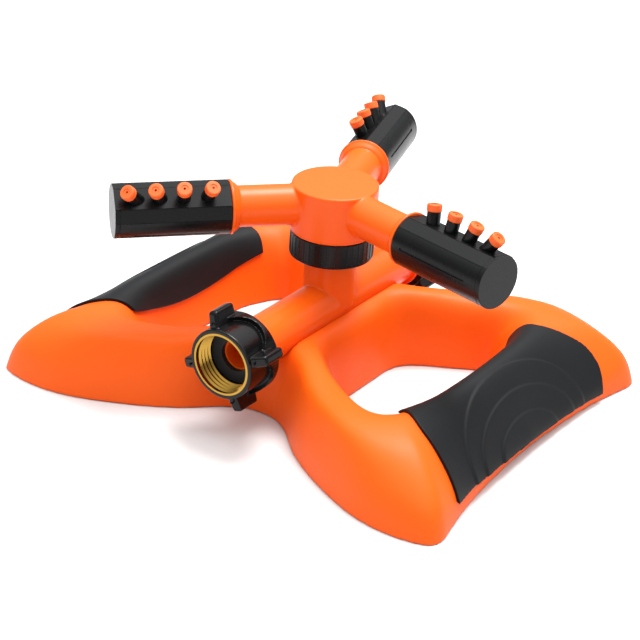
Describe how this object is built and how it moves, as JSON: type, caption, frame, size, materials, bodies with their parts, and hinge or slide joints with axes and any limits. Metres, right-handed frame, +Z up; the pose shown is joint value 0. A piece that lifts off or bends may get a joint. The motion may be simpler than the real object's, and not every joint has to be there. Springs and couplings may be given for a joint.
{
  "type": "rotary lawn sprinkler",
  "caption": "Rotary lawn sprinkler: a wide carrying base with soft grips, a swivel hose inlet, a capped outlet and a spinning rotor with turnable nozzle bars.",
  "frame": {"origin": "on the ground, under the axis of the rotor", "axes": "+Z up; the hose comes in from -Y; the two handles are at +X and -X"},
  "size_m": [0.2406, 0.1986, 0.1102],
  "materials": {
    "base_shell": "blow-moulded polyethylene, fine satin skin",
    "grip": "soft-touch thermoplastic rubber, fine matt texture",
    "pipe": "injection-moulded ABS, satin",
    "rotor": "injection-moulded ABS, satin",
    "fitting": "injection-moulded glass-filled nylon, semi-gloss",
    "bar": "injection-moulded ABS, semi-gloss",
    "tip": "soft moulded plastic, satin",
    "brass": "turned brass",
    "seal": "nitrile rubber",
    "acetal": "moulded acetal",
    "steel": "stainless steel"
  },
  "bodies": {
    "base": {"base_shell": "base_shell", "grip_left": "grip", "grip_right": "grip", "pipe_tee": "pipe", "mounting_screws": "steel", "inlet_tailpiece": "pipe", "rotor_spindle": "acetal"},
    "hose_nut": {"hose_nut": "fitting", "brass_insert": "brass", "hose_washer": "seal"},
    "rear_cap": {"rear_cap": "fitting", "rear_washer": "seal"},
    "rotor": {"rotor_hub": "rotor", "collar_nut": "fitting", "thrust_washer": "acetal", "rotor_seal": "seal", "arm_seal_1": "seal", "arm_seal_2": "seal", "arm_seal_3": "seal"},
    "bar_1": {"nozzle_bar_1": "bar", "bar_cap_1": "bar", "nozzle_tips_1": "tip"},
    "bar_2": {"nozzle_bar_2": "bar", "bar_cap_2": "bar", "nozzle_tips_2": "tip"},
    "bar_3": {"nozzle_bar_3": "bar", "bar_cap_3": "bar", "nozzle_tips_3": "tip"}
  },
  "joints": [
    {"name": "hose_nut_turn", "type": "hinge", "parent": "base", "child": "hose_nut", "pos_m": [0, -0.075, 0.0395], "axis": [0, -1, 0], "continuous": true},
    {"name": "rear_cap_off", "type": "slide", "parent": "base", "child": "rear_cap", "axis": [0, 1, 0], "range_m": [0, 0.03]},
    {"name": "rotor_turn", "type": "hinge", "parent": "base", "child": "rotor", "pos_m": [0, 0, 0.0896], "axis": [0, 0, 1], "continuous": true},
    {"name": "bar_1_turn", "type": "hinge", "parent": "rotor", "child": "bar_1", "pos_m": [-0.04747, -0.05144, 0.0896], "axis": [-0.6782, -0.7349, 0], "continuous": true},
    {"name": "bar_2_turn", "type": "hinge", "parent": "rotor", "child": "bar_2", "pos_m": [0.06829, -0.01539, 0.0896], "axis": [0.9755, -0.2198, 0], "continuous": true},
    {"name": "bar_3_turn", "type": "hinge", "parent": "rotor", "child": "bar_3", "pos_m": [-0.02082, 0.06683, 0.0896], "axis": [-0.2974, 0.9548, 0], "continuous": true}
  ]
}
